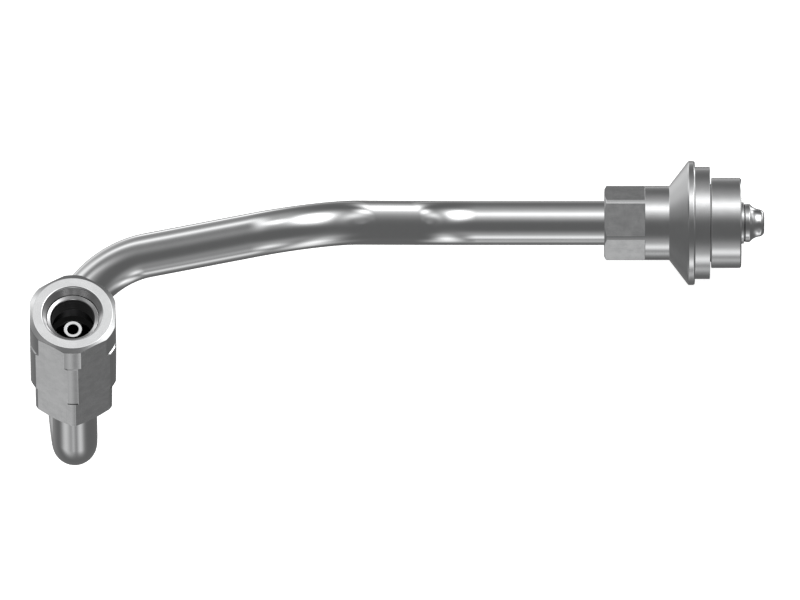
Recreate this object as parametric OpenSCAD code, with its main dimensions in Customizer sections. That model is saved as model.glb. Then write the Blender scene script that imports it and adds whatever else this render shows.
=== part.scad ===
// Bent tube assembly: a steel pipe with four bends in space.
// One end has a swivelling union nut on a hexagon end body, the other
// a coned flange with a sealing washer, a spigot ring and a nose.

/* [Tube] */
// Outside diameter of the tube
tube_od = 10; // [9:0.1:11]
// Wall thickness of the tube
tube_wall = 2; // [1:0.1:3]
// Radius of every bend, to the centre line
bend_radius = 20; // [17:0.5:26]
// How much the diameter is drawn thinner in the bends
bend_draw = 0.04; // [0.03:0.01:0.3]

/* [Route] */
// Straight between the flange fitting and the first bend
straight_1 = 28.9; // [20:0.1:60]
// Angle of the first bend
bend_1 = 57.5; // [45:0.1:62]
// Straight between the first and second bends
straight_2 = 18.5; // [10:0.1:50]
// Angle of the second bend
bend_2 = 77.1; // [65:0.1:82]
// Straight between the second and third bends
straight_3 = 25.9; // [20:0.1:60]
// Angle of the third bend
bend_3 = 94.7; // [85:0.1:100]
// Straight between the third and fourth bends
straight_4 = 10.5; // [6:0.1:30]
// Angle of the fourth bend
bend_4 = 90.2; // [80:0.1:95]
// Straight between the fourth bend and the end body
straight_5 = 19.2; // [15:0.1:40]
// Lean of the first bend's plane from upright
route_roll = 29.2; // [20:0.1:40]
// Turn of the bending plane between the first and second bends
twist_1 = -169.6; // [-180:0.1:-155]
// Turn of the bending plane between the second and third bends
twist_2 = 113.1; // [100:0.1:120]
// Turn of the bending plane between the third and fourth bends
twist_3 = 68.1; // [55:0.1:80]

/* [Union nut] */
// Width across the flats of the nut
nut_af = 19; // [18.5:0.1:22]
// Length of the nut
nut_length = 23.4; // [22:0.1:30]
// Diameter of the flat face round the mouth
nut_face_d = 17.8; // [16.5:0.1:18.2]
// Diameter to which the corners are turned at the front
nut_front_d = 20.1; // [19.5:0.05:20.5]
// Length of the front turning on the corners
nut_front_length = 7.7; // [4:0.1:12]
// Diameter of the corners behind the front turning
nut_corner_d = 20.7; // [20.5:0.05:21.9]
// Slope of the chamfer from the face to the corners
nut_face_angle = 30; // [15:1:45]
// Diameter of the mouth at the face
nut_mouth_d = 13.4; // [12.6:0.1:14.5]
// Diameter at the bottom of the tapered mouth
nut_seat_d = 11.6; // [11:0.1:12.4]
// Depth of the tapered mouth
nut_mouth_depth = 2.25; // [1.5:0.05:3]
// Depth of the coned lead-in to the thread
nut_lead_depth = 0.5; // [0.3:0.05:1.6]
// Diameter of the thread bore
nut_thread_d = 9.8; // [9.2:0.05:10.2]
// Depth at which the thread ends in its relief
nut_thread_end = 7.2; // [6.5:0.1:8]
// Diameter of the thread relief
nut_relief_d = 10.8; // [10.4:0.1:11.8]
// Depth at which the swivel bore starts
nut_swivel_start = 11; // [10.5:0.1:12.5]
// Chamfer at the rear edge of the swivel bore
nut_rear_chamfer = 0.5; // [0.2:0.05:0.8]
// Turn of the nut's flats about its axis
nut_turn = 5; // [-30:0.5:30]

/* [End body] */
// Width across the flats of the end body
body_af = 17; // [16.5:0.1:18.5]
// Diameter to which its corners are turned
body_corner_d = 19.1; // [18.6:0.05:19.5]
// Length of its hexagon
body_hex_length = 11.6; // [9:0.1:15]
// Diameter of the flat face at the back of its hexagon
body_back_d = 16.6; // [15:0.1:17.5]
// Slope of the chamfer from that face to the corners
body_back_angle = 30; // [15:1:45]
// Diameter of the stem that the nut swivels on
stem_d = 12.9; // [12.4:0.1:13.6]
// Diameter of the nose where it leaves the stem
nose_root_d = 8.6; // [7.5:0.1:8.8]
// Included angle of the nose cone
nose_angle = 60; // [50:1:70]
// Diameter of the flat tip of the nose
nose_tip_d = 4.2; // [3.6:0.1:5]
// Depth of the nose tip below the face of the nut
nose_tip_depth = 7.3; // [6.5:0.1:8]
// Depth of the tube socket in both fittings
socket_depth = 8; // [5:0.5:9]
// Bore of the two noses
nose_bore = 2.6; // [1.5:0.1:3.2]

/* [Snap ring] */
// Thickness of the ring along the axis
ring_thickness = 1.4; // [1:0.1:1.8]
// Outside diameter of the ring
ring_od = 14; // [13.8:0.1:15]
// Inside diameter of the ring
ring_id = 11.6; // [11:0.1:11.8]
// Gap between the ring's two ends
ring_gap = 2.5; // [1:0.1:5]
// Depth of the ring below the face of the nut
ring_depth = 17; // [15:0.1:18.5]

/* [Flange fitting] */
// Width across the flats of the flange fitting
flange_af = 15; // [14.5:0.1:16]
// Length of its hexagon
flange_hex_length = 9.2; // [8:0.1:15]
// Diameter of the flat face at the back of its hexagon
flange_back_d = 15.2; // [14:0.1:16]
// Slope of the chamfer from that face to the corners
flange_back_angle = 30; // [15:1:45]
// Diameter of the collar and of the turned corners
collar_d = 16.8; // [16.5:0.05:17.3]
// Length of the collar
collar_length = 5.5; // [3:0.1:10]
// Length of the coned back of the flange
cone_length = 4.1; // [2:0.1:8]
// Diameter of the flange rim
flange_d = 28.1; // [26:0.1:34]
// Thickness of the flange rim
rim_thickness = 1.7; // [1:0.1:4]
// Rounding of the rim's edges
rim_round = 0.3; // [0.1:0.05:0.45]
// Turn of the fitting's flats about its axis
flange_turn = -6; // [-30:0.5:30]

/* [Washer and spigot ring] */
// Outside diameter of the sealing washer
washer_d = 25.4; // [22:0.1:27]
// Thickness of the sealing washer
washer_thickness = 3.4; // [2:0.1:5]
// Outside diameter of the spigot ring
spigot_d = 20.4; // [16:0.1:21.5]
// Length of the spigot ring
spigot_length = 7.1; // [4:0.1:12]
// Chamfer on both edges of the spigot ring
spigot_chamfer = 0.3; // [0.1:0.05:0.6]
// Diameter of the shank through the washer and the ring
shank_d = 9.4; // [9:0.1:11]

/* [Flange nose] */
// Length of the shank that shows in front of the spigot ring
shank_lip = 0.6; // [0.3:0.05:1.2]
// Diameter of the groove behind the bead
neck_d = 8.5; // [8:0.05:8.6]
// Width of the groove behind the bead
neck_width = 0.35; // [0.2:0.05:0.8]
// Diameter of the bead
bead_d = 8.7; // [8.6:0.05:9]
// Width of the bead
bead_width = 0.95; // [0.6:0.05:1.5]
// Length of the nose in front of the bead
nose_length = 3.35; // [3:0.05:4]
// Radius of the hollow between the bead and the tip
nose_hollow = 3.3; // [2.5:0.1:5]
// Diameter of the flat end of the tip
tip_flat_d = 3.6; // [3.4:0.1:4.2]
// Radius of the rounding of the tip
tip_round = 1.3; // [0.8:0.1:1.5]

/* [Fits] */
// Radial gap of the brazed tube sockets
braze_gap = 0.05; // [0.02:0.01:0.1]
// Radial gap of the swivel bore on the stem
swivel_gap = 0.08; // [0.04:0.01:0.1]
// Gap between the nut and the end body, along the axis
nut_end_gap = 0.3; // [0.2:0.05:0.6]
// Gap round the snap ring in the groove of the nut
ring_gap_nut = 0.3; // [0.2:0.05:0.4]
// Gap between the snap ring and the floor of the groove in the stem
ring_floor_gap = 0.3; // [0.2:0.05:0.4]
// Play of the snap ring in the groove of the stem, along the axis
ring_play = 0.1; // [0.05:0.05:0.2]
// Radial gap of the washer on the shank
washer_gap = 0.1; // [0.05:0.05:0.3]
// Radial gap of the spigot ring on the shank
spigot_gap = 0.02; // [0.01:0.01:0.05]

/* [Hidden] */
$fn = 96;
steel = [0.62, 0.63, 0.64];
bright_steel = [0.74, 0.75, 0.76];

tube_bore = tube_od - 2 * tube_wall;
// Stations along the nut's axis, from its face
body_start = nut_length + nut_end_gap;
body_end = body_start + body_hex_length;
body_socket = body_end - socket_depth;
nose_root = nose_tip_depth
    + (nose_root_d - nose_tip_d) / 2 / tan(nose_angle / 2);
stem_start = nut_swivel_start + nut_end_gap;
swivel_d = stem_d + 2 * swivel_gap;
stem_groove_d = ring_id - 2 * ring_floor_gap;
nut_groove_d = ring_od + 2 * ring_gap_nut;
// Stations along the flange's axis, from the back of its hexagon
cone_start = flange_hex_length + collar_length;
rim_start = cone_start + cone_length;
rim_end = rim_start + rim_thickness;
washer_end = rim_end + washer_thickness;
spigot_end = washer_end + spigot_length;
nose_shoulder = spigot_end + shank_lip;
bead_start = nose_shoulder + neck_width;
bead_end = bead_start + bead_width;
tip_end = bead_end + nose_length;
// Widest point of the rounded tip, in the half section of the nose
tip_edge = [tip_flat_d / 2 + tip_round, tip_end - tip_round];
bead_edge = [bead_d / 2, bead_end];
// Route of the tube, from the flange fitting's socket to the end body's
straights = [
    socket_depth + straight_1, straight_2, straight_3, straight_4,
    straight_5 + socket_depth
];
bends = [bend_1, bend_2, bend_3, bend_4];
twists = [twist_1, twist_2, twist_3, 0];
// Each bend runs on into its straights by this many degrees
bend_overlap = 1.4;
// A cut that goes through a face runs past it by this much
past = 1;

// Hexagon bar along +Z, one corner on +X
module hex_bar(af, length) {
    cylinder(d = af / cos(30), h = length, $fn = 6);
}

// Revolved ring with a rectangular section, between two stations
module turned_ring(outer_d, inner_d, from, to) {
    translate([0, 0, from])
        difference() {
            cylinder(d = outer_d, h = to - from);
            translate([0, 0, -past])
                cylinder(d = inner_d, h = to - from + 2 * past);
        }
}

// Carries its children to the end of a straight
module after_straight(length) {
    translate([0, 0, length]) children();
}

// Carries its children round a bend, then turns the bending plane
module after_bend(angle, twist) {
    translate([bend_radius, 0, 0])
        rotate([0, angle, 0])
            translate([-bend_radius, 0, 0])
                rotate([0, 0, twist])
                    children();
}

// Carries its children to the start of a leg: the straight before each bend
module at_leg(i) {
    if (i == 0)
        translate([socket_depth - washer_end, 0, 0])
            rotate([route_roll, 0, 0])
                rotate([0, -90, 0])
                    children();
    else
        at_leg(i - 1)
            after_straight(straights[i - 1])
                after_bend(bends[i - 1], twists[i - 1])
                    children();
}

// One bend, from the end of the straight before it; its ends are sunk in the
// two slightly thicker straights
module pipe_bend(diameter, i) {
    translate([bend_radius, 0, 0])
        rotate([90, 0, 180])
            rotate([0, 0, -bend_overlap])
                rotate_extrude(angle = bends[i] + 2 * bend_overlap)
                    translate([bend_radius, 0]) circle(d = diameter - bend_draw);
}

// The whole route, solid across the given diameter
module pipe(diameter) {
    for (i = [0 : len(bends)])
        at_leg(i) {
            cylinder(d = diameter, h = straights[i]);
            if (i < len(bends))
                after_straight(straights[i]) pipe_bend(diameter, i);
        }
}

// Flange end: stations run along +X, with the sealing face of the washer at X = 0
module at_flange() {
    translate([-washer_end, 0, 0]) rotate([0, 90, 0]) children();
}

// Nut end: stations run from the face of the nut back towards the tube
module at_nut() {
    at_leg(len(bends))
        after_straight(straight_5 + socket_depth + body_socket)
            rotate([180, 0, 0])
                children();
}

module tube() {
    color(bright_steel)
        difference() {
            pipe(tube_od);
            pipe(tube_bore);
        }
}

// Outline of the nut, turned over the corners of its hexagon
module nut_turning() {
    rise = (nut_front_d - nut_face_d) / 2 * tan(nut_face_angle);
    rotate_extrude()
        polygon([
            [0, 0],
            [nut_face_d / 2, 0],
            [nut_front_d / 2, rise],
            [nut_front_d / 2, nut_front_length],
            [nut_corner_d / 2, nut_front_length],
            [nut_corner_d / 2, nut_length],
            [0, nut_length]
        ]);
}

// Everything that is bored out of the nut
module nut_hollow() {
    groove_top = ring_depth - ring_gap_nut;
    groove_end = ring_depth + ring_thickness + ring_gap_nut;
    flare = nut_mouth_d / 2 + (nut_mouth_d - nut_seat_d) / 2 / nut_mouth_depth * past;
    rotate_extrude()
        polygon([
            [0, -past],
            [flare, -past],
            [nut_seat_d / 2, nut_mouth_depth],
            [nut_thread_d / 2, nut_mouth_depth + nut_lead_depth],
            [nut_thread_d / 2, nut_thread_end],
            [nut_relief_d / 2, nut_thread_end],
            [nut_relief_d / 2, nut_swivel_start],
            [swivel_d / 2, nut_swivel_start],
            [swivel_d / 2, groove_top],
            [nut_groove_d / 2, groove_top],
            [nut_groove_d / 2, groove_end],
            [swivel_d / 2, groove_end],
            [swivel_d / 2, nut_length - nut_rear_chamfer],
            [swivel_d / 2 + nut_rear_chamfer + past, nut_length + past],
            [0, nut_length + past]
        ]);
}

module union_nut() {
    color(steel)
        at_nut()
            difference() {
                intersection() {
                    rotate([0, 0, nut_turn]) hex_bar(nut_af, nut_length);
                    nut_turning();
                }
                nut_hollow();
            }
}

// Nose of the end body, from its flat tip to the end of the stem
module nose_turning() {
    rotate_extrude()
        polygon([
            [0, nose_tip_depth],
            [nose_tip_d / 2, nose_tip_depth],
            [nose_root_d / 2, nose_root],
            [nose_root_d / 2, body_start],
            [0, body_start]
        ]);
}

// Stem of the end body, with the groove for the snap ring
module stem_turning() {
    groove_start = ring_depth - ring_play;
    groove_end = ring_depth + ring_thickness;
    rotate_extrude()
        polygon([
            [0, stem_start],
            [stem_d / 2, stem_start],
            [stem_d / 2, groove_start],
            [stem_groove_d / 2, groove_start],
            [stem_groove_d / 2, groove_end],
            [stem_d / 2, groove_end],
            [stem_d / 2, body_start],
            [0, body_start]
        ]);
}

// Outline of the end body's hexagon, turned over its corners
module body_hex_turning() {
    rise = (body_corner_d - body_back_d) / 2 * tan(body_back_angle);
    rotate_extrude()
        polygon([
            [0, 0],
            [body_corner_d / 2, 0],
            [body_corner_d / 2, body_hex_length - rise],
            [body_back_d / 2, body_hex_length],
            [0, body_hex_length]
        ]);
}

module end_body() {
    color(steel)
        at_nut()
            difference() {
                union() {
                    nose_turning();
                    stem_turning();
                    translate([0, 0, body_start])
                        intersection() {
                            rotate([0, 0, nut_turn]) hex_bar(body_af, body_hex_length);
                            body_hex_turning();
                        }
                }
                translate([0, 0, nose_tip_depth - past])
                    cylinder(d = nose_bore, h = body_end - nose_tip_depth + 2 * past);
                translate([0, 0, body_socket])
                    cylinder(d = tube_od + 2 * braze_gap, h = socket_depth + past);
            }
}

module snap_ring() {
    color(bright_steel)
        at_nut()
            difference() {
                turned_ring(ring_od, ring_id, ring_depth, ring_depth + ring_thickness);
                translate([0, -ring_gap / 2, ring_depth - past])
                    cube([ring_od, ring_gap, ring_thickness + 2 * past]);
            }
}

// Centre of the circle of a given radius through two points of a section
function hollow_centre(p, q, radius) =
    let (chord = q - p, half = norm(chord) / 2)
        (p + q) / 2
            + [chord[1], -chord[0]] / norm(chord) * sqrt(radius * radius - half * half);

// Half section of the flange fitting from the collar to the groove of the nose
module flange_section() {
    polygon([
        [0, flange_hex_length],
        [collar_d / 2, flange_hex_length],
        [collar_d / 2, cone_start],
        [flange_d / 2 - rim_round, rim_start],
        [flange_d / 2, rim_start + rim_round],
        [flange_d / 2, rim_end - rim_round],
        [flange_d / 2 - rim_round, rim_end],
        [shank_d / 2, rim_end],
        [shank_d / 2, nose_shoulder],
        [neck_d / 2, nose_shoulder],
        [neck_d / 2, bead_start],
        [bead_d / 2, bead_start],
        bead_edge,
        [0, bead_end]
    ]);
}

// Half section of the nose: a hollow flank and a rounded tip
module nose_section() {
    difference() {
        polygon([
            [0, bead_end], bead_edge, tip_edge, [0, tip_edge[1]]
        ]);
        translate(hollow_centre(bead_edge, tip_edge, nose_hollow))
            circle(r = nose_hollow);
    }
    translate([0, tip_edge[1]])
        intersection() {
            union() {
                square([tip_flat_d / 2, tip_round]);
                translate([tip_flat_d / 2, 0]) circle(r = tip_round);
            }
            square([tip_edge[0], tip_round]);
        }
}

// Outline of the flange fitting's hexagon, turned over its corners
module flange_hex_turning() {
    rise = (collar_d - flange_back_d) / 2 * tan(flange_back_angle);
    rotate_extrude()
        polygon([
            [0, 0],
            [flange_back_d / 2, 0],
            [collar_d / 2, rise],
            [collar_d / 2, flange_hex_length],
            [0, flange_hex_length]
        ]);
}

module flange_fitting() {
    color(steel)
        at_flange()
            difference() {
                union() {
                    intersection() {
                        rotate([0, 0, flange_turn])
                            hex_bar(flange_af, flange_hex_length);
                        flange_hex_turning();
                    }
                    rotate_extrude() flange_section();
                    rotate_extrude() nose_section();
                }
                translate([0, 0, -past])
                    cylinder(d = tube_od + 2 * braze_gap, h = socket_depth + past);
                cylinder(d = nose_bore, h = tip_end + past);
            }
}

module sealing_washer() {
    color(steel)
        at_flange()
            turned_ring(washer_d, shank_d + 2 * washer_gap, rim_end, washer_end);
}

module spigot_ring() {
    inner = shank_d / 2 + spigot_gap;
    color(steel)
        at_flange()
            rotate_extrude()
                polygon([
                    [inner, washer_end],
                    [spigot_d / 2 - spigot_chamfer, washer_end],
                    [spigot_d / 2, washer_end + spigot_chamfer],
                    [spigot_d / 2, spigot_end - spigot_chamfer],
                    [spigot_d / 2 - spigot_chamfer, spigot_end],
                    [inner, spigot_end]
                ]);
}

tube();
union_nut();
end_body();
snap_ring();
flange_fitting();
sealing_washer();
spigot_ring();
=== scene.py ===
import math
import bpy
import numpy as np
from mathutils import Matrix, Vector


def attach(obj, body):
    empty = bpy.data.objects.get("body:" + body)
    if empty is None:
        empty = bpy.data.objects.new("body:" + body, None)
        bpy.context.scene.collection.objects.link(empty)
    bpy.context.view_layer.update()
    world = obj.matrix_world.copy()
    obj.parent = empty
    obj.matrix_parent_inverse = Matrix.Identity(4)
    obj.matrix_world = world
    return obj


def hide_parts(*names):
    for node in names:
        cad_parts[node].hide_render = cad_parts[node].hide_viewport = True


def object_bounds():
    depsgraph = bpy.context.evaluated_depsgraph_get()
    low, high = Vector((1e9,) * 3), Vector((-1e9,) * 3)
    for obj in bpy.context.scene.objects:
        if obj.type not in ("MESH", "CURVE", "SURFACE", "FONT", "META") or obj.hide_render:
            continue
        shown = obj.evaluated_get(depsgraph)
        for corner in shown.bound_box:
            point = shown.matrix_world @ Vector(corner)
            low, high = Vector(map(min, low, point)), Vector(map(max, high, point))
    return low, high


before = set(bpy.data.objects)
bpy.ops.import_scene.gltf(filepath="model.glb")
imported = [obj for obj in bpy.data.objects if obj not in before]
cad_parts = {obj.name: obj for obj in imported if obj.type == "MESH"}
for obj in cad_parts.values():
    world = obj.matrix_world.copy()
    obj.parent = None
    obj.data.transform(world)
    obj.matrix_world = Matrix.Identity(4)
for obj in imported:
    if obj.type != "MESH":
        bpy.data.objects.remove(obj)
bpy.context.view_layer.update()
scene = bpy.context.scene
scene.view_settings.view_transform = "Standard"
print("frame loaded:", ", ".join(sorted(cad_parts)))

# lengths are in millimetres and angles in degrees, unless a note says otherwise
shot = {
    "lean": 29.2,                # between the line of sight and straight down
    "distance": 5882.0,
    "middle": (-70.08, -17.43),  # middle of the picture: along the flange axis, and up the picture
    "across": 180.99,            # width of the picture at the flange axis
    "sensor": 36.0,
    "farthest": 60.0,            # in metres
}
lean = math.radians(shot["lean"])
pictureUp = Vector((0, math.cos(lean), math.sin(lean)))
towardCamera = Vector((0, -math.sin(lean), math.cos(lean)))


def placeCamera():
    data = bpy.data.cameras.new("shotCamera")
    data.sensor_width = shot["sensor"]
    data.lens = shot["sensor"] * shot["distance"] / shot["across"]
    data.clip_end = shot["farthest"]
    camera = bpy.data.objects.new("shotCamera", data)
    scene.collection.objects.link(camera)
    middle = Vector((shot["middle"][0], 0, 0)) + pictureUp * shot["middle"][1]
    camera.location = (middle + towardCamera * shot["distance"]) / 1000
    camera.rotation_euler = (lean, 0, 0)
    scene.camera = camera


placeCamera()
print("camera placed")


def addNode(tree, kind, inputs=None, **settings):
    node = tree.nodes.new(kind)
    for name, value in settings.items():
        setattr(node, name, value)
    for name, value in (inputs or {}).items():
        if isinstance(value, bpy.types.NodeSocket):
            tree.links.new(value, node.inputs[name])
        else:
            node.inputs[name].default_value = value
    return node


def calc(tree, operation, *values):
    node = addNode(tree, "ShaderNodeMath", dict(enumerate(values)), operation=operation)
    return node.outputs[0]


def mixShader(tree, share, first, second):
    return addNode(tree, "ShaderNodeMixShader", {0: share, 1: first, 2: second}).outputs[0]


# soft boxes round the part, as seen from it: turn from the camera up over the top of the
# picture, swing to the right, half height, half width, and level; most come from a fit of
# the light to the highlights, rounded, and some were then set one by one
softBoxes = {
    "overhead": (46, -11, 11, 10, 1.83),
    "overheadWide": (48, 24, 20, 17, 5.0),
    "overheadSpread": (73, -10, 26, 17, 0.33),
    "overheadLead": (27, -5, 17, 56, 0.26),
    "rightArm": (83, 60, 21, 9, 0.80),
    "rightArmBack": (121, 48, 10, 8, 1.8),
    "rightArmEnd": (141, 31, 9, 10, 2.3),
    "rightSide": (90, 63, 12, 35, 0.19),
    "leftArm": (87, -34, 10, 7, 0.86),
    "leftArmLead": (64, -25, 28, 7, 0.99),
    "leftBehind": (98, -50, 23, 12, 1.29),
    "behind": (151, -25, 25, 21, 0.67),
    "behindTop": (148, -16, 5, 70, 0.22),
    "behindEdge": (141, -10, 6, 6, 1.1),
    "frontLow": (-82, -1, 12, 10, 1.03),
    "frontLowRight": (-115, 14, 15, 8, 0.91),
    "frontLowEnd": (-101, 22, 11, 8, 1.02),
    "lowSide": (-87, 31, 14, 13, 0.44),
    "lowMiddle": (-62, -1, 15, 32, 0.26),
    "under": (-111, -4, 11, 5, 0.86),
    "lowLeft": (-129, -25, 10, 17, 0.62),
}
fillLevel = 0.151
white = (1, 1, 1, 1)


def boxLight(tree, turn, swing, box):
    # bell of the two angles from the middle of the box, the turn wrapped to half a circle;
    # a turn counts for less out to the sides
    turnTo, swingTo, high, wide, strength = box
    away = calc(tree, "SUBTRACT", turn, math.radians(turnTo))
    away = calc(tree, "WRAP", away, math.pi, -math.pi)
    away = calc(tree, "MULTIPLY", away, calc(tree, "COSINE", swing))
    away = calc(tree, "DIVIDE", away, math.radians(high))
    aside = calc(tree, "SUBTRACT", swing, math.radians(swingTo))
    aside = calc(tree, "DIVIDE", aside, math.radians(wide))
    square = calc(tree, "ADD", calc(tree, "MULTIPLY", away, away), calc(tree, "MULTIPLY", aside, aside))
    bell = calc(tree, "EXPONENT", calc(tree, "MULTIPLY", square, -1.0))
    return calc(tree, "MULTIPLY", bell, strength)


def lightStudio():
    # the metal sees the soft boxes, and the camera sees white paper
    world = bpy.data.worlds.new("studio")
    scene.world = world
    world.use_nodes = True
    tree = world.node_tree
    tree.nodes.clear()
    ray = addNode(tree, "ShaderNodeTexCoord").outputs["Generated"]

    def share(axis):
        node = addNode(tree, "ShaderNodeVectorMath", {0: ray, 1: axis}, operation="DOT_PRODUCT")
        return node.outputs["Value"]

    turn = calc(tree, "ARCTAN2", share(pictureUp), share(towardCamera))
    swing = calc(tree, "ARCSINE", share((1, 0, 0)))
    level = fillLevel
    for box in softBoxes.values():
        level = calc(tree, "ADD", boxLight(tree, turn, swing, box), level)
    light = addNode(tree, "ShaderNodeBackground", {"Color": white, "Strength": level})
    paper = addNode(tree, "ShaderNodeBackground", {"Color": white, "Strength": 1.0})
    path = addNode(tree, "ShaderNodeLightPath")
    both = mixShader(tree, path.outputs["Is Camera Ray"], light.outputs[0], paper.outputs[0])
    addNode(tree, "ShaderNodeOutputWorld", {"Surface": both})


lightStudio()


def newMaterial(name):
    material = bpy.data.materials.new(name)
    material.use_nodes = True
    material.node_tree.nodes.clear()
    return material


floorLook = {"half": 4.0, "drop": 0.3, "glow": 0.85, "grey": 0.8}  # half size in metres


def layFloor():
    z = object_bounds()[0].z - floorLook["drop"] / 1000
    half = floorLook["half"]
    corners = [(-half, -half, z), (half, -half, z), (half, half, z), (-half, half, z)]
    mesh = bpy.data.meshes.new("floor")
    mesh.from_pydata(corners, [], [(0, 1, 2, 3)])
    floor = bpy.data.objects.new("floor", mesh)
    scene.collection.objects.link(floor)
    material = newMaterial("paleFloor")
    tree = material.node_tree
    path = addNode(tree, "ShaderNodeLightPath")
    grey = floorLook["grey"]
    shaded = addNode(tree, "ShaderNodeBsdfDiffuse", {"Color": (grey, grey, grey, 1)}).outputs[0]
    glow = addNode(tree, "ShaderNodeEmission", {"Color": white, "Strength": floorLook["glow"]}).outputs[0]
    paper = addNode(tree, "ShaderNodeAddShader", {0: shaded, 1: glow}).outputs[0]
    seen = mixShader(tree, path.outputs["Is Camera Ray"], shaded, paper)
    through = addNode(tree, "ShaderNodeBsdfTransparent").outputs[0]  # reflections show the studio under it
    both = mixShader(tree, path.outputs["Is Glossy Ray"], seen, through)
    addNode(tree, "ShaderNodeOutputMaterial", {"Surface": both})
    mesh.materials.append(material)


layFloor()
print("studio light and floor set")


def shift(x, y, z):
    m = np.eye(4)
    m[:3, 3] = (x, y, z)
    return m


def turnAbout(axis, degrees):
    c, s = math.cos(math.radians(degrees)), math.sin(math.radians(degrees))
    a, b = [(1, 2), (2, 0), (0, 1)][axis]
    m = np.eye(4)
    m[a, a], m[a, b], m[b, a], m[b, b] = c, -s, s, c
    return m


# bend table of the tube, from the floor of the flange's socket to the floor of the other
route = {
    "start": -15.9,
    "roll": 29.2,
    "radius": 20.0,
    "straights": (36.9, 18.5, 25.9, 10.5, 27.2),
    "bends": (57.5, 77.1, 94.7, 90.2),
    "twists": (-169.6, 113.1, 68.1, 0),   # after each bend
}
flangeBack = -23.9   # back of the flange's hexagon on the X axis
tubeEnd = 27.3       # station of the tube's end behind the nut's face


def bendBy(degrees):
    r = route["radius"]
    return shift(r, 0, 0) @ turnAbout(1, degrees) @ shift(-r, 0, 0)


legs = [shift(route["start"], 0, 0) @ turnAbout(0, route["roll"]) @ turnAbout(1, -90)]
for length, bend, twist in zip(route["straights"], route["bends"], route["twists"]):
    legs.append(legs[-1] @ shift(0, 0, length) @ bendBy(bend) @ turnAbout(2, twist))

# stations of the flange end run along +X from the back of its hexagon,
# those of the nut end run from the nut's face back towards the tube
flangeFrame = shift(flangeBack, 0, 0) @ turnAbout(1, 90)
nutFrame = legs[-1] @ shift(0, 0, route["straights"][-1] + tubeEnd) @ turnAbout(0, 180)

lineNoise = {"Detail": 2.0}
streakNoise = {"Detail": 3.0}
cloudNoise = {"Detail": 4.0, "Roughness": 0.6}
texture = {
    "drawn": 0.02,             # scale of the lines along a flat, against that across it
    "depth": 0.00005,          # of the lines, in metres
    "glossSpan": (0.3, 0.7),   # values of the clouds between which the gloss and the tint change
    "tintSpan": (0.35, 0.65),
    "tintMiddle": 0.5,
    "tintTurned": 0.2,         # share of the tint that the clouds take on turned faces and on flats
    "tintFlat": 0.9,
}


def noise(tree, place, scale, kind):
    return addNode(tree, "ShaderNodeTexNoise", {"Vector": place, "Scale": scale, **kind}).outputs[0]


def spread(tree, value, span, to):
    # the value carried from one span to another and held at its ends
    inputs = {"Value": value, "From Min": span[0], "From Max": span[1], "To Min": to[0], "To Max": to[1]}
    return addNode(tree, "ShaderNodeMapRange", inputs).outputs[0]


def addMetal(tree, look, lines, clouds, blend):
    # bare metal with the lines as fine relief, the clouds in its gloss and the blend in its tint
    relief = {"Height": lines, "Strength": look["relief"], "Distance": texture["depth"]}
    colours = {"Factor": blend, "A": (*look["dull"], 1), "B": (*look["bright"], 1)}
    edge = look["edge"]
    shader = addNode(tree, "ShaderNodeBsdfPrincipled", {
        "Base Color": addNode(tree, "ShaderNodeMix", colours, data_type="RGBA").outputs[2],
        "Metallic": 1.0,
        "Roughness": spread(tree, clouds, texture["glossSpan"], look["roughness"]),
        "Normal": addNode(tree, "ShaderNodeBump", relief).outputs[0],
        "Specular Tint": (edge, edge, edge, 1),
    })
    addNode(tree, "ShaderNodeOutputMaterial", {"Surface": shader.outputs[0]})


def steel(name, look):
    # steel with fine lines from turning on round faces and along the bar on flats,
    # and a faint cloudiness in colour and gloss
    material = newMaterial(name)
    tree = material.node_tree
    where = addNode(tree, "ShaderNodeTexCoord").outputs["Object"]
    toAxis = {"Vector": where, "Location": look["centre"], "Rotation": look["turned"]}
    centred = addNode(tree, "ShaderNodeMapping", toAxis).outputs[0]
    x, y, z = addNode(tree, "ShaderNodeSeparateXYZ", {0: centred}).outputs
    squares = calc(tree, "ADD", calc(tree, "MULTIPLY", x, x), calc(tree, "MULTIPLY", y, y))
    ringed = addNode(tree, "ShaderNodeCombineXYZ", {0: z, 1: calc(tree, "SQRT", squares)}).outputs[0]
    stretch = {"Vector": centred, "Scale": (1, 1, texture["drawn"])}
    drawn = addNode(tree, "ShaderNodeMapping", stretch).outputs[0]
    flat = addNode(tree, "ShaderNodeAttribute", attribute_name="flatFace").outputs["Fac"]
    lines = addNode(tree, "ShaderNodeMix", {
        "Factor": flat,
        "A": noise(tree, ringed, look["lines"], lineNoise),
        "B": noise(tree, drawn, look["lines"], lineNoise),
    }, data_type="FLOAT").outputs[0]
    clouds = noise(tree, where, look["clouds"], cloudNoise)
    middle, least = texture["tintMiddle"], texture["tintTurned"]
    patch = spread(tree, clouds, texture["tintSpan"], (-middle, middle))
    shown = calc(tree, "ADD", calc(tree, "MULTIPLY", flat, texture["tintFlat"] - least), least)
    blend = calc(tree, "ADD", calc(tree, "MULTIPLY", patch, shown), middle)
    addMetal(tree, look, lines, clouds, blend)
    return material


def quads(rows, columns, wrapped):
    # faces of a grid of points: each row joins the next and the last row the first,
    # and so do the columns, where the grid is wrapped
    j, i = np.meshgrid(np.arange(rows), np.arange(columns if wrapped else columns - 1), indexing="ij")
    nextRow, nextColumn = (j + 1) % rows, (i + 1) % columns
    corners = [(j, i), (j, nextColumn), (nextRow, nextColumn), (nextRow, i)]
    return np.stack([row * columns + column for row, column in corners], -1).reshape(-1, 4)


def facesInward(places, normals, faces):
    first, second, third, fourth = [places[faces[:, k]] for k in range(4)]
    return np.sum(np.cross(third - first, fourth - second) * normals[faces].mean(1)) < 0


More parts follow.
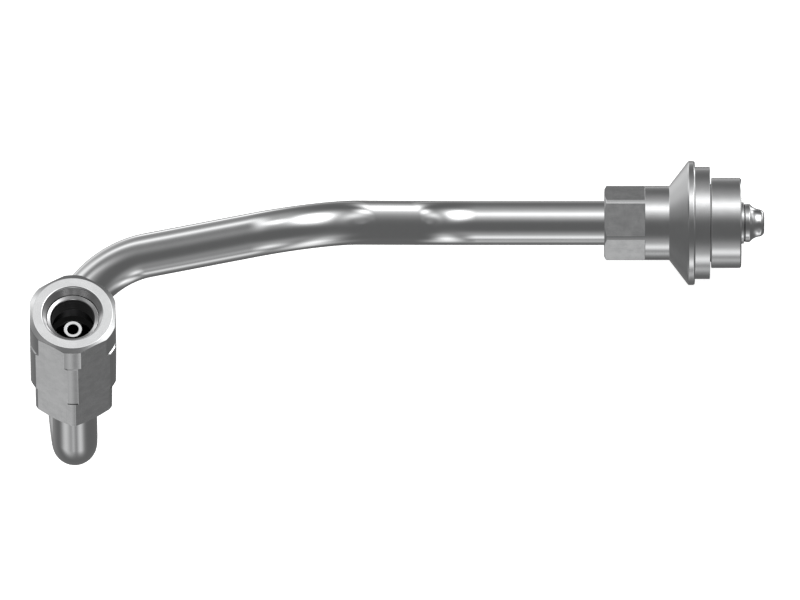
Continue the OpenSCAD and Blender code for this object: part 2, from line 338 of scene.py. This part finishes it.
def mapGirthAndLength(mesh, rows, columns, girth, along, inward):
    j, i = np.meshgrid(np.arange(rows), np.arange(columns), indexing="ij")
    corners = [np.stack(corner, -1) for corner in ((i, j), (i + 1, j), (i + 1, j + 1), (i, j + 1))]
    corners = np.stack(corners, 2).reshape(-1, 4, 2)
    if inward:
        corners = corners[:, ::-1]
    table = np.stack([corners[..., 0] * girth / columns, along[corners[..., 1] % rows]], -1)
    layer = mesh.uv_layers.new(name="along")
    layer.data.foreach_set("uv", table.ravel().astype(np.float32))


def addPiece(name, mesh, node, body):
    piece = bpy.data.objects.new(name, mesh)
    scene.collection.objects.link(piece)
    piece.visible_glossy = False   # the bright faces mirror the studio and not one another
    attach(piece, body)
    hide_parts(node)
    print("made", name, "with", len(mesh.polygons), "faces")


def shell(name, points, normals, node, body, materials, coat=None, flat=None, uv=None):
    # closed ring of rings, with a coat's number for each row or each face, the flats marked
    # for the lines in the steel, and a map of girth and length where that is given
    rows, columns = points.shape[:2]
    faces = quads(rows, columns, wrapped=True)
    p, n = points.reshape(-1, 3), normals.reshape(-1, 3)
    inward = facesInward(p, n, faces)
    if inward:
        faces = faces[:, ::-1]
    mesh = bpy.data.meshes.new(name)
    mesh.from_pydata(p / 1000, [], faces.tolist())
    mesh.polygons.foreach_set("use_smooth", np.ones(len(faces), bool))
    for material in materials:
        mesh.materials.append(material)
    if coat is not None:
        coat = np.broadcast_to(coat.reshape(rows, -1), (rows, columns))
        mesh.polygons.foreach_set("material_index", coat.ravel().astype(np.int32))
    if flat is not None:
        marks = mesh.attributes.new("flatFace", "FLOAT", "POINT")
        marks.data.foreach_set("value", flat.ravel().astype(np.float32))
    if uv is not None:
        mapGirthAndLength(mesh, rows, columns, *uv, inward)
    mesh.update()
    mesh.normals_split_custom_set_from_vertices((n / np.linalg.norm(n, axis=1, keepdims=True)).tolist())
    addPiece(name, mesh, node, body)


roundSteps = 4     # points on a rounded corner
fineRound = 0.05   # roundings that several pieces share
softRound = 0.1
wideRound = 0.2
rowGap = 0.005     # rows that would meet keep this far apart
outward = (0, 1)   # slopes, as along the axis and outward
forward = (1, 0)
backward = (-1, 0)


def roundOff(corners, closed=False, steps=roundSteps):
    # outline of (station, radius, rounding): each corner becomes an arc between its two sides,
    # at the corner plus rounding times (normal - (n0 + n1) / (1 + n0.n1)), inside out where it is hollow
    c = np.array(corners, float)
    p = c[:, :2]
    side = (np.roll(p, -1, 0) if closed else np.vstack([p[1:], p[-1:]])) - p
    if not closed:
        side[-1] = side[-2]
    side /= np.linalg.norm(side, axis=1, keepdims=True)
    after = np.stack([-side[:, 1], side[:, 0]], 1)
    before = np.roll(after, 1, 0)
    if not closed:
        before[0] = after[0]
    dot = np.clip(np.sum(before * after, 1), -1, 1)
    swell = np.where(before[:, 0] * after[:, 1] - before[:, 1] * after[:, 0] < 0, 1.0, -1.0)
    angle = np.maximum(np.arccos(dot), 1e-4)
    t = np.linspace(0, 1, steps)
    leaving = np.sin(np.outer(angle, 1 - t))[..., None] * before[:, None]
    coming = np.sin(np.outer(angle, t))[..., None] * after[:, None]
    normal = (leaving + coming) / np.sin(angle)[:, None, None]
    offset = normal - ((before + after) / (1 + dot)[:, None])[:, None]
    spot = p[:, None] + (swell * c[:, 2])[:, None, None] * offset
    keep = np.ones((len(c), steps), bool)
    if not closed:
        keep[[0, -1], 1:] = False
    return spot[keep], normal[keep]


def allRound(spot, normal, columns):
    # the same outline at every angle round the axis
    n = np.zeros((len(spot), columns, 3))
    n[..., 0], n[..., 1] = normal[:, :1], normal[:, 1:]
    return np.repeat(spot[:, :1], columns, 1), np.repeat(spot[:, 1:], columns, 1), n


def turnedRows(corners, columns, closed=False, steps=roundSteps):
    return allRound(*roundOff(corners, closed, steps), columns)


class Hexagon:
    # hexagon bar round an axis: radius of its flats at each angle is half the width over the cosine
    # of the angle from the middle of the flat, with a close pair of angles at each turned edge
    def __init__(self, width, turn, turnedRadii, steps=25, near=0.3):
        half = 30
        edge = np.degrees(np.arccos(width / 2 / np.array(turnedRadii)))
        marks = np.concatenate([edge - near, edge + near])
        sector = np.unique(np.concatenate([np.linspace(-half, half, steps), marks, -marks]))
        sector = sector[(sector >= -half) & (sector < half - 0.01)]
        away = np.tile(sector, 6)
        self.angle = np.radians(away + np.repeat(np.arange(6) * 2 * half + half + turn, len(sector)))
        away = np.radians(away)
        self.radius = width / 2 / np.cos(away)
        self.normal = np.stack([0 * away, np.cos(away), -np.sin(away)], -1)
        self.columns = len(away)

    def ring(self, station, radius, slope):
        # a row with the slope as its normal
        normal = np.zeros((1, self.columns, 3))
        normal[..., :2] = slope
        shape = (1, self.columns)
        stations, radii = np.broadcast_to(station, shape), np.broadcast_to(radius, shape)
        return stations, radii, normal, np.zeros(shape, bool)

    def row(self, station, radius, slope):
        # a turned row, cut down to the flats where they lie further in
        onFlat = (radius > self.radius + 1e-6)[None]
        stations, radii, turned, _ = self.ring(station, np.minimum(radius, self.radius), slope)
        return stations, radii, np.where(onFlat[..., None], self.normal, turned), onFlat

    def cone(self, start, end, slope, parts):
        # rows at these parts of the way between two edges, each given as station and radius
        rows = []
        for part in parts:
            station, radius = [a + (b - a) * part for a, b in zip(start, end)]
            rows.append(self.ring(station, radius, slope))
        return rows


def inPlace(frameOf, angle, station, radius, normal):
    # station, radius and angle round the axis become places; normals come as along, outward and round
    out = np.stack([np.cos(angle), np.sin(angle), 0 * angle], -1)
    roundWay = np.stack([-np.sin(angle), np.cos(angle), 0 * angle], -1)
    along = np.array([0, 0, 1.0])
    p = radius[..., None] * out + station[..., None] * along
    n = normal[..., :1] * along + normal[..., 1:2] * out + normal[..., 2:] * roundWay
    return p @ frameOf[:3, :3].T + frameOf[:3, 3], n @ frameOf[:3, :3].T


def gather(groups):
    # stacks the rows of named groups and keeps which points lie on a flat, and each row's group
    station, radius, normal, flat, group = [], [], [], [], []
    for name, parts in groups.items():
        for rows in parts:
            station.append(rows[0])
            radius.append(rows[1])
            normal.append(rows[2])
            flat.append(rows[3] if len(rows) > 3 else np.zeros(rows[0].shape, bool))
            group += [name] * len(rows[0])
    stacks = [np.concatenate(a) for a in (station, radius, normal, flat)]
    return (*stacks, np.array(group))


nutPlace = nutFrame[:3, 3] / 1000
alongX = {"centre": (0, 0, 0), "turned": (0, math.radians(-90), 0)}
alongZ = {"centre": (-nutPlace[0], -nutPlace[1], 0), "turned": (0, 0, 0)}
finish = {
    "dull": (0.61, 0.615, 0.62), "bright": (0.73, 0.735, 0.74), "roughness": (0.11, 0.17),
    "lines": 5200.0, "relief": 0.07, "clouds": 420.0, "edge": 1.0,
}
washerTone = {"dull": (0.59, 0.595, 0.60), "bright": (0.71, 0.715, 0.72)}
polish = {"roughness": (0.05, 0.08), "relief": 0.03}
# painted shade: places that lie in shade get a darker colour than the steel has
paintedShadeLook = {
    **finish, "dull": (0.055, 0.055, 0.056), "bright": (0.08, 0.08, 0.081), "roughness": (0.28, 0.38),
    "relief": 0.12, "edge": 0.05,
}
deepPaintedShade = {"dull": (0.004, 0.004, 0.004), "bright": (0.008, 0.008, 0.008)}
groovePaintedShade = {"dull": (0.19, 0.19, 0.191), "bright": (0.23, 0.23, 0.232)}
mouthPaintedShade = {"dull": (0.48, 0.48, 0.485), "bright": (0.58, 0.58, 0.585), "roughness": (0.14, 0.2)}
flangeSteel = steel("turnedFlangeSteel", {**finish, **alongX})
washerSteel = steel("turnedWasherSteel", {**finish, **alongX, **washerTone})
nutSteel = steel("hexNutSteel", {**finish, **alongZ})
# painted shade: the thread bore's dark coat stands in for the shade inside the nut
borePaintedShadeSteel = steel("threadBorePaintedShade", {**paintedShadeLook, **alongZ})
deepPaintedShadeSteel = steel("deepBorePaintedShade", {**paintedShadeLook, **alongZ, **deepPaintedShade})
groovePaintedShadeSteel = steel("narrowGroovePaintedShade", {**paintedShadeLook, **alongX, **groovePaintedShade})
# painted shade: the mouth's wall is darker than the steel, and its finish a little rougher
mouthPaintedShadeSteel = steel("mouthWallPaintedShade", {**finish, **alongZ, **mouthPaintedShade})
noseSteel = steel("polishedNoseSteel", {**finish, **alongX, **polish})

tubeSizes = {"outer": 5.0, "inner": 3.0, "columns": 96, "straightRings": 6, "bendRings": 32}
tubeLook = {
    "dull": (0.66, 0.665, 0.67), "bright": (0.72, 0.725, 0.73), "roughness": (0.08, 0.11),
    "streaks": 9.0, "drawn": 0.03, "relief": 0.05, "clouds": 300.0, "edge": 1.0,
}


def tubeSteel():
    # polished tube: faint streaks along its length, on the map of girth and length
    material = newMaterial("polishedTubeSteel")
    tree = material.node_tree
    coords = addNode(tree, "ShaderNodeTexCoord").outputs
    stretch = {"Vector": coords["UV"], "Scale": (1, tubeLook["drawn"], 1)}
    streaked = addNode(tree, "ShaderNodeMapping", stretch).outputs[0]
    streaks = noise(tree, streaked, tubeLook["streaks"], streakNoise)
    clouds = noise(tree, coords["Object"], tubeLook["clouds"], cloudNoise)
    addMetal(tree, tubeLook, streaks, clouds, clouds)
    return material


def makeTube():
    # circle carried along the bend table: straights and arcs, with each ring turned back
    # by the twists before it so that the columns run on without a spiral
    frames, along, back, done, twisted = [], [], [], 0.0, 0.0
    for k, leg in enumerate(legs):
        straight = route["straights"][k]
        skip = 0 if k == 0 else 1   # a later straight starts from the last ring of a bend
        for z in np.linspace(0, straight, tubeSizes["straightRings"])[skip:]:
            frames.append(leg @ shift(0, 0, z))
            along.append(done + z)
            back.append(twisted)
        done += straight
        if k == len(route["bends"]):
            break
        for bent in np.linspace(0, route["bends"][k], tubeSizes["bendRings"])[1:]:
            frames.append(leg @ shift(0, 0, straight) @ bendBy(bent))
            along.append(done + math.radians(bent) * route["radius"])
            back.append(twisted)
        done += math.radians(route["bends"][k]) * route["radius"]
        twisted += route["twists"][k]
    frames, along = np.array(frames), np.array(along)
    angle = np.linspace(0, 2 * np.pi, tubeSizes["columns"], endpoint=False) - np.radians(back)[:, None]
    sideways, upward, centre = [frames[:, None, :3, k] for k in (0, 1, 3)]
    ring = np.cos(angle)[..., None] * sideways + np.sin(angle)[..., None] * upward
    outside, inside = [centre + tubeSizes[name] * ring for name in ("outer", "inner")]
    points = np.concatenate([outside, inside[::-1]])
    normals = np.concatenate([ring, -ring[::-1]])
    uv = (2 * math.pi * tubeSizes["outer"], np.concatenate([along, along[::-1]]))
    shell("tubeSkin", points, normals, "tube", "line", [tubeSteel()], uv=uv)


makeTube()

nutSizes = {
    "width": 19.0, "turn": 5.0, "length": 23.4, "edge": 0.06,
    "faceRadius": 8.9, "faceSlope": 26.0, "faceParts": (0.04, 0.5, 0.92),
    "frontRadius": 10.05, "frontLength": 7.7, "cornerRadius": 10.35, "endLine": 0.5,
    # short cone between the two corner radii: half its length, where its shading ends,
    # how far its rows lie between the radii, and its slope
    "stepHalf": 0.06, "stepEase": 0.10, "stepInset": 0.01, "stepSlope": (-0.94, 0.34),
    "swivelStart": 11.0, "swivelRadius": 6.53, "rearFlat": 1.2, "rearChamfer": 0.5,
    "grooveRadius": 7.3, "grooveFrom": 16.7, "grooveTo": 18.7, "reliefRadius": 5.4,
}
threadSizes = {
    "radius": 4.9, "end": 7.2, "pitch": 1.0, "depth": 0.3, "sharpness": 0.95, "rows": 50,
    "fade": 0.25, "fadeFrom": 0.1,   # length of the fade, and the share that is left at the mouth
    "apart": 0.02, "inset": 0.1,     # gap to the next rows, and their distance out from the thread
}
mouthSizes = {
    "radius": 6.7, "depth": 2.25, "seatRadius": 5.8,
    "leadDepth": 0.5, "leadInset": 0.04, "leadRound": 0.04,
    "leadBend": (0.27, 0.13),   # corner of the two leads: below the seat, and out from the thread
    "leadEnd": 0.1, "slotFrom": 0.15, "slotTo": 0.1,   # from the seat: two below it, the last above it
    "slotDepth": 0.3, "slotIn": 0.07, "slotOut": 0.08, "slotLean": 0.01, "slotRound": 0.02,
    "steps": 6, "wallInset": 0.1, "wallFrom": 0.15, "wallTo": 0.4,
    "lipDepth": 0.36, "lipInset": 0.09, "lipOut": 0.1, "lipRound": 0.3, "lipSteps": 8,
}


def threadRows(hexagon):
    # the radius goes up and down once a pitch, one pitch further on each turn, fading at both ends
    t = threadSizes
    top, bottom = t["end"] - t["apart"], mouthSizes["depth"] + mouthSizes["leadDepth"]
    s, a = np.meshgrid(np.linspace(top, bottom, t["rows"]), hexagon.angle, indexing="ij")
    fade = np.clip((top - s) / t["fade"], 0, 1) * np.clip((s - bottom) / t["fade"] + t["fadeFrom"], 0, 1)

    def radius(station, angle):
        swing = t["sharpness"] * np.sin(2 * np.pi * station / t["pitch"] + angle)
        return t["radius"] + fade * t["depth"] * 2 / np.pi * np.arcsin(swing)

    small = 0.001
    climb = (radius(s + small, a) - radius(s - small, a)) / (2 * small)
    spin = (radius(s, a + small) - radius(s, a - small)) / (2 * small) / t["radius"]
    return s, radius(s, a), np.stack([climb, -np.ones_like(s), spin], -1)


def leadRows(columns):
    m = mouthSizes
    seat, deep, thread = m["seatRadius"], m["depth"], threadSizes["radius"]
    return turnedRows([
        (deep + m["leadDepth"] - threadSizes["apart"], thread + m["leadInset"], 0),
        (deep + m["leadBend"][0], thread + m["leadBend"][1], fineRound),
        (deep, seat - m["slotIn"] - m["slotLean"], m["leadRound"]),
        (deep + m["leadEnd"], seat - m["slotIn"], 0),
    ], columns)


def slotRows(columns):
    m = mouthSizes
    seat, deep, slotFloor = m["seatRadius"], m["depth"], m["depth"] + m["slotDepth"]
    return turnedRows([
        (deep + m["slotFrom"], seat - m["slotIn"], 0),
        (slotFloor, seat - m["slotIn"] + m["slotLean"], m["slotRound"]),
        (slotFloor, seat + m["slotOut"], m["slotRound"]),
        (deep - m["slotTo"], seat + m["slotOut"] + m["slotLean"], 0),
    ], columns)


def wallRows(columns):
    # wall of the mouth in fine turned steps: each goes along the axis, then out at half a right angle
    m = mouthSizes
    inner, deep = m["seatRadius"] + m["wallInset"], m["depth"] - m["wallFrom"]
    out = (m["radius"] - m["wallInset"] - inner) / m["steps"]
    rise = (deep - m["wallTo"]) / m["steps"]
    rows = []
    for k in range(m["steps"]):
        low, start = inner + k * out, deep - k * rise
        end = start - rise
        turn = end + out
        rows.append(turnedRows([(start, low, 0), (turn + rowGap, low, 0)], columns))
        rows.append(turnedRows([(turn, low, 0), (end + rowGap, low + out - rowGap, 0)], columns))
    return rows


def lipRows(columns):
    m = mouthSizes
    return turnedRows([
        (m["lipDepth"], m["radius"] - m["lipInset"], 0),
        (0.0, m["radius"] + m["lipOut"], m["lipRound"]),
        (0.0, nutSizes["faceRadius"] - nutSizes["edge"], 0),
    ], columns, steps=m["lipSteps"])


def nutBoreRows(columns):
    z = nutSizes
    end, swivel, relief = z["length"], z["swivelRadius"], z["reliefRadius"]
    return turnedRows([
        (end, swivel + z["rearFlat"], 0),
        (end, swivel + z["rearChamfer"], fineRound), (end - z["rearChamfer"], swivel, fineRound),
        (z["grooveTo"], swivel, fineRound), (z["grooveTo"], z["grooveRadius"], softRound),
        (z["grooveFrom"], z["grooveRadius"], softRound), (z["grooveFrom"], swivel, fineRound),
        (z["swivelStart"], swivel, softRound), (z["swivelStart"], relief, softRound),
        (threadSizes["end"], relief, softRound),
        (threadSizes["end"], threadSizes["radius"] + threadSizes["inset"], 0),
    ], columns)


def makeUnionNut():
    z = nutSizes
    front, corner, face = z["frontRadius"], z["cornerRadius"], z["faceRadius"]
    hexagon = Hexagon(z["width"], z["turn"], (front, corner))
    columns = hexagon.columns
    e, slope = z["edge"], math.radians(z["faceSlope"])
    crest = np.minimum(front, hexagon.radius)   # the chamfer ends here at each angle
    crease = (crest - face) * math.tan(slope)
    coneSlope = (-math.cos(slope), math.sin(slope))
    step, half, ease = z["frontLength"], z["stepHalf"], z["stepEase"]
    station, radius, normal, flat, group = gather({
        "cone": hexagon.cone((0, face), (crease, crest), coneSlope, z["faceParts"]),
        "outside": [
            hexagon.row(crease + e, front, outward),
            hexagon.row(step - ease, front, outward),
            hexagon.row(step - half, front + z["stepInset"], z["stepSlope"]),
            hexagon.row(step + half, corner - z["stepInset"], z["stepSlope"]),
            hexagon.row(step + ease, corner, outward),
        ],
        "endLine": [hexagon.row(z["length"] - z["endLine"], corner, outward)],
        "end": [hexagon.row(z["length"] - e, corner, outward)],
        "rear": [hexagon.ring(z["length"], np.minimum(corner, hexagon.radius) - e, forward)],
        "bore": [nutBoreRows(columns)],
        "thread": [threadRows(hexagon)],
        "lead": [leadRows(columns)],
        "slot": [slotRows(columns)],
        "wall": wallRows(columns),
        "lip": [lipRows(columns)],
    })
    coats = [nutSteel, borePaintedShadeSteel, mouthPaintedShadeSteel]
    # painted shade: the bore, thread and slot take the dark coat, the lead and the mouth's wall the darker
    # mouth coat
    dark, inMouth = np.isin(group, ("bore", "thread", "slot")), np.isin(group, ("lead", "wall"))
    coat = np.repeat(np.select([dark, inMouth], [1, 2], 0)[:, None], columns, 1)
    line = group == "endLine"
    coat[line] = np.where(flat[line], 0, 1)   # painted shadow: a dark line where the corners end, above the gap to the body
    points, normals = inPlace(nutFrame, hexagon.angle, station, radius, normal)
    shell("unionNutBody", points, normals, "union_nut", "nut", coats, coat, flat)


makeUnionNut()

bodySizes = {
    "width": 17.0, "turn": 5.0, "cornerRadius": 9.55, "hexFrom": 23.7, "hexTo": 35.3, "edge": 0.06,
    "backRadius": 8.3, "backSlope": 30.0, "backParts": (0.08, 0.5, 0.96),
    "tipDepth": 7.3, "tipRadius": 2.1, "tipRing": 0.13,
    "boreRadius": 1.3, "boreFrom": 0.5, "boreEdge": 0.11,   # both stations counted from the tip
    "noseRadius": 4.3, "noseRoot": 11.11, "stemFrom": 11.3, "stemRadius": 6.45,
    "grooveFrom": 16.9, "grooveTo": 18.4, "grooveRadius": 5.5, "socketRadius": 5.05, "socketFrom": 27.3,
}


def bodyTipRows(columns):
    z = bodySizes
    return turnedRows([
        (z["tipDepth"] + z["boreEdge"], z["boreRadius"], 0), (z["tipDepth"], z["boreRadius"], softRound),
        (z["tipDepth"], z["tipRadius"] - z["tipRing"], 0),
    ], columns)


def bodyNoseRows(columns):
    z = bodySizes
    nose, stem, groove = z["noseRadius"], z["stemRadius"], z["grooveRadius"]
    return turnedRows([
        (z["tipDepth"], z["tipRadius"] - z["tipRing"] + rowGap, 0),
        (z["tipDepth"], z["tipRadius"], wideRound), (z["noseRoot"], nose, fineRound),
        (z["stemFrom"], nose, fineRound), (z["stemFrom"], stem, wideRound),
        (z["grooveFrom"], stem, fineRound), (z["grooveFrom"], groove, softRound),
        (z["grooveTo"], groove, softRound), (z["grooveTo"], stem, fineRound),
        (z["hexFrom"], stem, softRound), (z["hexFrom"], z["backRadius"], 0),
    ], columns)


def bodyBackRows(columns):
    z = bodySizes
    return turnedRows([
        (z["hexTo"], z["backRadius"] - z["edge"], 0), (z["hexTo"], z["socketRadius"], softRound),
        (z["socketFrom"], z["socketRadius"], softRound), (z["socketFrom"], z["boreRadius"], softRound),
        (z["tipDepth"] + z["boreFrom"], z["boreRadius"], 0),
    ], columns)


def makeEndBody():
    z = bodySizes
    corner, e, slope = z["cornerRadius"], z["edge"], math.radians(z["backSlope"])
    hexagon = Hexagon(z["width"], z["turn"], (corner,))
    columns = hexagon.columns
    crest = np.minimum(corner, hexagon.radius)
    crease = z["hexTo"] - (crest - z["backRadius"]) * math.tan(slope)   # the back chamfer starts here
    coneSlope = (math.cos(slope), math.sin(slope))
    station, radius, normal, flat, group = gather({
        "tip": [bodyTipRows(columns)],
        "nose": [bodyNoseRows(columns)],
        "front": [hexagon.ring(z["hexFrom"], crest - e, backward)],
        "outside": [
            hexagon.row(z["hexFrom"] + e, corner, outward),
            hexagon.row(crease - e, corner, outward),
        ],
        "cone": hexagon.cone((crease, crest), (z["hexTo"], z["backRadius"]), coneSlope, z["backParts"]),
        "back": [bodyBackRows(columns)],
    })
    # painted shade: the nose inside the nut and the socket's bore are coated near black
    deep = (group == "nose") | ((group == "back") & (radius[:, 0] < z["socketRadius"]))
    coats = [nutSteel, deepPaintedShadeSteel]
    points, normals = inPlace(nutFrame, hexagon.angle, station, radius, normal)
    shell("endBodyTurned", points, normals, "end_body", "line", coats, deep, flat)


makeEndBody()

flangeSizes = {
    "width": 15.0, "turn": -6.0, "hexLength": 9.2, "edge": 0.06,
    "backRadius": 7.6, "backSlope": 30.0, "backParts": (0.05, 0.5, 0.92),
    "backInset": 0.25, "leastChamfer": 0.05,
    "collarRadius": 8.4, "collarRound": 0.12, "ledgeRise": 0.01, "ledgeInset": 0.04,
    "coneFrom": 14.7, "rimFrom": 18.8, "rimTo": 20.5, "rimRadius": 14.05, "rimRound": 0.3,
    "shankRadius": 4.7, "shankRound": 0.12, "polishFrom": 21.0,
    "lipTo": 31.6, "neckRadius": 4.25, "neckRound": 0.06,
    "beadFrom": 31.95, "beadTo": 32.9, "beadRadius": 4.35, "beadRound": 0.09, "beadEase": 0.1,
    "hollow": 3.3, "hollowRows": 12, "tipTo": 36.25, "tipFlat": 1.8, "tipRound": 1.3, "tipRows": 10,
    "tipInset": 0.05, "boreRadius": 1.3, "boreRound": 0.12, "socketRadius": 5.05, "socketTo": 8.0,
}


def flangeHexRows(hexagon):
    z = flangeSizes
    collar, e, end, slope = z["collarRadius"], z["edge"], z["hexLength"], math.radians(z["backSlope"])
    crest = np.minimum(collar, hexagon.radius)
    crease = (crest - z["backRadius"]).clip(z["leastChamfer"]) * math.tan(slope)
    lowest = np.minimum(z["backRadius"], hexagon.radius - z["leastChamfer"])
    coneSlope = (-math.cos(slope), math.sin(slope))
    # the ledge from the flats out to the collar faces back, and the turned corners run on
    ledge = np.where((hexagon.radius < collar)[:, None], backward, outward)
    ledgeTop = np.maximum(crest, collar - z["ledgeInset"])
    return hexagon.cone((0, lowest), (crease, crest), coneSlope, z["backParts"]) + [
        hexagon.row(crease + e, collar, outward),
        hexagon.row(end - e, collar, outward),
        hexagon.ring(end, crest, ledge),
        hexagon.ring(end + z["ledgeRise"], ledgeTop, ledge),
    ]


def flangeCollarRows(columns):
    z = flangeSizes
    collar, rim, rounding, shank = z["collarRadius"], z["rimRadius"], z["rimRound"], z["shankRadius"]
    neck, bead = z["neckRadius"], z["beadRadius"]
    return turnedRows([
        (z["hexLength"] + z["edge"], collar, 0), (z["coneFrom"], collar, z["collarRound"]),
        (z["rimFrom"], rim - rounding, wideRound), (z["rimFrom"] + rounding, rim, wideRound),
        (z["rimTo"] - rounding, rim, wideRound), (z["rimTo"], rim - rounding, wideRound),
        (z["rimTo"], shank, softRound), (z["lipTo"], shank, z["shankRound"]),
        (z["lipTo"], neck, z["neckRound"]), (z["beadFrom"], neck, fineRound),
        (z["beadFrom"], bead, z["beadRound"]), (z["beadTo"] - z["beadEase"], bead, 0),
    ], columns)


def flangeNoseRows(columns):
    # hollow flank: arc of the given radius through the bead's edge and the widest point of the rounded tip
    z = flangeSizes
    tipCentre = np.array([z["tipTo"] - z["tipRound"], z["tipFlat"]])
    first = np.array([z["beadTo"], z["beadRadius"]])
    last = tipCentre + (0, z["tipRound"])
    chord = last - first
    half = np.linalg.norm(chord) / 2
    square = np.array([-chord[1], chord[0]]) / (2 * half)
    centre = (first + last) / 2 + square * math.sqrt(z["hollow"] ** 2 - half ** 2)
    start, end = [math.atan2(*(q - centre)[::-1]) for q in (first, last)]
    t = np.linspace(start, end, z["hollowRows"])[1:]
    flank = np.stack([np.cos(t), np.sin(t)], -1)
    t = np.linspace(math.pi / 2, 0, z["tipRows"])[1:]
    ball = np.stack([np.cos(t), np.sin(t)], -1)
    spot = np.concatenate([centre + z["hollow"] * flank, tipCentre + z["tipRound"] * ball])
    return allRound(spot, np.concatenate([-flank, ball]), columns)


def flangeInsideRows(columns):
    z = flangeSizes
    bore, socket = z["boreRadius"], z["socketRadius"]
    return turnedRows([
        (z["tipTo"], z["tipFlat"] - z["tipInset"], 0), (z["tipTo"], bore, z["boreRound"]),
        (z["socketTo"], bore, softRound), (z["socketTo"], socket, softRound),
        (0.0, socket, softRound), (0.0, z["backRadius"] - z["backInset"], 0),
    ], columns)


def makeFlangeFitting():
    z = flangeSizes
    hexagon = Hexagon(z["width"], z["turn"], (z["collarRadius"],))
    columns = hexagon.columns
    station, radius, normal, flat, group = gather({
        "hexagon": flangeHexRows(hexagon),
        "collar": [flangeCollarRows(columns)],
        "nose": [flangeNoseRows(columns)],
        "inside": [flangeInsideRows(columns)],
    })
    coats = [flangeSteel, noseSteel, groovePaintedShadeSteel]
    at, near = station[:, 0], 0.01
    polished = (group == "nose") | (at > z["polishFrom"])
    # painted shade: the narrow groove between the lip and the bead takes the dark groove coat
    groove = (group == "collar") & (at > z["lipTo"] - near) & (at < z["beadFrom"] + near)
    coat = np.select([groove, polished], [2, 1], 0)
    points, normals = inPlace(flangeFrame, hexagon.angle, station, radius, normal)
    shell("flangeFittingTurned", points, normals, "flange_fitting", "line", coats, coat, flat)


makeFlangeFitting()

ringColumns = 192
washerSizes = {
    "from": 20.5, "to": 23.9, "outer": 12.7, "inner": 4.8, "chamfer": 0.05, "innerRound": 0.08,
    "grooveWidth": 0, "grooveDepth": 0, "grooveRound": 0.02,
}
spigotSizes = {
    **washerSizes, "from": 23.9, "to": 31.0, "outer": 10.2, "inner": 4.72, "chamfer": 0.3,
    "grooveWidth": 0.3, "grooveDepth": 1.4,   # narrow groove against the washer
}


def makeRing(name, z, node, material):
    c, wide, outer, inner = z["chamfer"], z["grooveWidth"], z["outer"], z["inner"]
    front, back = z["from"], z["to"]
    bottom = outer - z["grooveDepth"]
    groove = [(front, bottom, z["grooveRound"]), (front + wide, bottom, z["grooveRound"])] if wide else []
    corners = groove + [
        (front + wide, outer - c / 2 - wide / 4, c / 6), (front + c + wide / 4, outer, c / 4),
        (back - c, outer, c / 4), (back, outer - c, c / 4),
        (back, inner, z["innerRound"]), (front, inner, z["innerRound"]),
    ]
    angle = np.linspace(0, 2 * np.pi, ringColumns, endpoint=False)
    points, normals = inPlace(flangeFrame, angle, *turnedRows(corners, ringColumns, closed=True))
    # painted shade: the rows of the groove against the washer take the dark groove coat
    coat = np.arange(len(points)) < len(groove) * roundSteps
    shell(name, points, normals, node, "line", [material, groovePaintedShadeSteel], coat)


makeRing("sealingWasherRing", washerSizes, "sealing_washer", washerSteel)
makeRing("spigotRingTurned", spigotSizes, "spigot_ring", flangeSteel)

snapSizes = {"from": 17.0, "to": 18.4, "outer": 7.0, "inner": 5.8, "gap": 2.5, "edge": 0.08, "columns": 97}


def makeSnapRing():
    # flat wire bent round to an open ring: the section is carried round the axis and closed off at the gap
    z = snapSizes
    sides = [("from", "inner"), ("from", "outer"), ("to", "outer"), ("to", "inner")]
    corners = [(z[station], z[radius], z["edge"]) for station, radius in sides]
    half = math.asin(z["gap"] / 2 / z["inner"])
    columns = z["columns"]
    angle = np.linspace(half, 2 * np.pi - half, columns)
    points, normals = inPlace(nutFrame, angle, *turnedRows(corners, columns, closed=True))
    p, n = points.reshape(-1, 3), normals.reshape(-1, 3)
    faces = quads(len(points), columns, wrapped=False)
    inward = facesInward(p, n, faces)
    start = list(range(0, len(p), columns))
    end = list(range(columns - 1, len(p), columns))[::-1]
    faces = faces.tolist() + [start, end]
    if inward:
        faces = [face[::-1] for face in faces]
    mesh = bpy.data.meshes.new("snapRingWire")
    mesh.from_pydata(p / 1000, [], faces)
    # painted shade: the wire inside the nut takes the bore's dark coat
    mesh.materials.append(borePaintedShadeSteel)
    mesh.update()
    addPiece("snapRingWire", mesh, "snap_ring", "line")


makeSnapRing()
print("pieces dressed")
